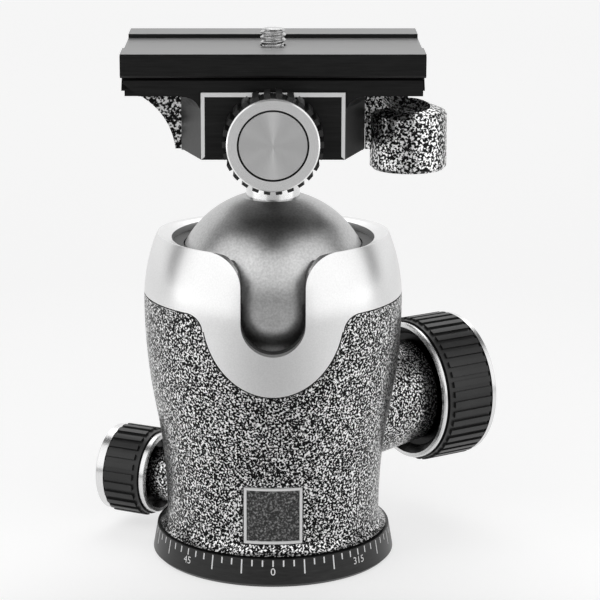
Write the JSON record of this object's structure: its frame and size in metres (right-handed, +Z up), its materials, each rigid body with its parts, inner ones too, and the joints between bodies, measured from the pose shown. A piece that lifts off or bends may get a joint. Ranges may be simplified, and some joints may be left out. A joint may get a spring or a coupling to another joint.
{
  "type": "tripod ball head",
  "caption": "Center ball head for a tripod: panning base with a dial, speckled housing, silver collar with a drop notch, locking ball and a dovetail quick release clamp with its plate.",
  "frame": {"origin": "middle of the tripod socket's mouth, on the base's underside", "axes": "+Z up along the pan axis, -Y to the front where the drop notch and the tension knob face, +X to the right seen from the front, towards the release lever"},
  "size_m": [0.1044, 0.0808, 0.1336],
  "materials": {
    "black_anodised": "satin black anodised",
    "speckle_paint": "speckled black, grey and white stove paint",
    "silver": "satin turned",
    "graphite": "satin hard anodised",
    "steel": "plain turned",
    "bronze": "plain turned",
    "rubber": "matte ribbed",
    "polymer": "plain",
    "grey_polymer": "plain",
    "black_plastic": "grained"
  },
  "bodies": {
    "base": {"base_plate": "black_anodised", "socket_bush": "steel", "thrust_washer": "polymer", "spindle_nut": "steel"},
    "housing": {"housing_casting": "speckle_paint", "collar": "silver", "seat_sleeve": "black_anodised", "seat_ring": "grey_polymer", "pan_bush": "bronze", "badge": "black_plastic"},
    "main_knob": {"main_knob_core": "silver", "main_knob_grip": "rubber", "main_knob_cap": "black_anodised", "main_lock_screw": "steel"},
    "lock_plunger": {"lock_plunger": "bronze"},
    "lower_cup": {"lower_cup": "silver", "cup_liner": "polymer"},
    "pan_knob": {"pan_knob_core": "silver", "pan_knob_grip": "rubber", "pan_knob_cap": "black_anodised", "pan_lock_screw": "steel"},
    "brake_shoe": {"brake_shoe": "bronze"},
    "ball_core": {"ball_core": "graphite"},
    "ball": {"ball": "graphite"},
    "clamp": {"stem": "silver", "clamp_casting": "speckle_paint", "rear_jaw": "black_anodised", "clamp_bolt": "steel", "lever_pin": "steel", "guide_pins": "steel"},
    "front_jaw": {"front_jaw": "black_anodised", "jaw_yoke": "steel"},
    "clamp_knob": {"clamp_knob_core": "silver", "clamp_knob_grip": "rubber", "clamp_knob_cap": "silver", "clamp_screw": "steel"},
    "release_lever": {"release_lever": "speckle_paint"},
    "camera_plate": {"camera_plate": "black_anodised"},
    "camera_screw": {"camera_screw": "steel"}
  },
  "joints": [
    {"name": "pan", "type": "hinge", "parent": "base", "child": "housing", "pos_m": [0, 0, 0.014], "axis": [0, 0, 1], "continuous": true},
    {"name": "side_tilt", "type": "hinge", "parent": "housing", "child": "ball_core", "pos_m": [0, 0, 0.0682], "axis": [0, 1, 0], "range_deg": [-34, 34]},
    {"name": "front_tilt", "type": "hinge", "parent": "ball_core", "child": "ball", "pos_m": [0, 0, 0.0682], "axis": [1, 0, 0], "range_deg": [-28, 88]},
    {"name": "ball_spin", "type": "hinge", "parent": "ball", "child": "clamp", "pos_m": [0, 0, 0.0911], "axis": [0, 0, 1], "continuous": true},
    {"name": "main_knob_turn", "type": "hinge", "parent": "housing", "child": "main_knob", "pos_m": [0.04057, 0.02565, 0.0353], "axis": [-0.8453, -0.5344, 0], "range_deg": [-120, 120]},
    {"name": "plunger_slide", "type": "slide", "parent": "housing", "child": "lock_plunger", "axis": [-0.8453, -0.5344, 0], "range_m": [-0.00045, 0.00045]},
    {"name": "cup_lift", "type": "slide", "parent": "housing", "child": "lower_cup", "axis": [0, 0, 1], "range_m": [-0.00018, 0.00018]},
    {"name": "pan_knob_turn", "type": "hinge", "parent": "housing", "child": "pan_knob", "pos_m": [-0.03589, 0.01766, 0.015], "axis": [0.8973, -0.4415, 0], "range_deg": [-90, 90]},
    {"name": "brake_slide", "type": "slide", "parent": "housing", "child": "brake_shoe", "axis": [0.8973, -0.4415, 0], "range_m": [-0.0003, 0.0003]},
    {"name": "lever_swing", "type": "hinge", "parent": "clamp", "child": "release_lever", "pos_m": [0.016, 0.008, 0.112], "axis": [0, 0, 1], "range_deg": [0, 90]},
    {"name": "jaw_slide", "type": "slide", "parent": "clamp", "child": "front_jaw", "axis": [0, -1, 0], "range_m": [0, 0.0018]},
    {"name": "clamp_knob_turn", "type": "hinge", "parent": "front_jaw", "child": "clamp_knob", "pos_m": [0, -0.03, 0.1107], "axis": [0, -1, 0], "continuous": true},
    {"name": "plate_slide", "type": "slide", "parent": "clamp", "child": "camera_plate", "axis": [1, 0, 0], "range_m": [-0.015, 0.015]},
    {"name": "camera_screw_turn", "type": "hinge", "parent": "camera_plate", "child": "camera_screw", "pos_m": [0, 0, 0.125], "axis": [0, 0, 1], "continuous": true}
  ],
  "couplings": [
    {"joint": "plunger_slide", "follows": "main_knob_turn", "m_per_rad": 0.00019894},
    {"joint": "cup_lift", "follows": "main_knob_turn", "m_per_rad": 0.00007241},
    {"joint": "brake_slide", "follows": "pan_knob_turn", "m_per_rad": 0.00015915},
    {"joint": "jaw_slide", "follows": "lever_swing", "m_per_rad": 0.0010804}
  ]
}
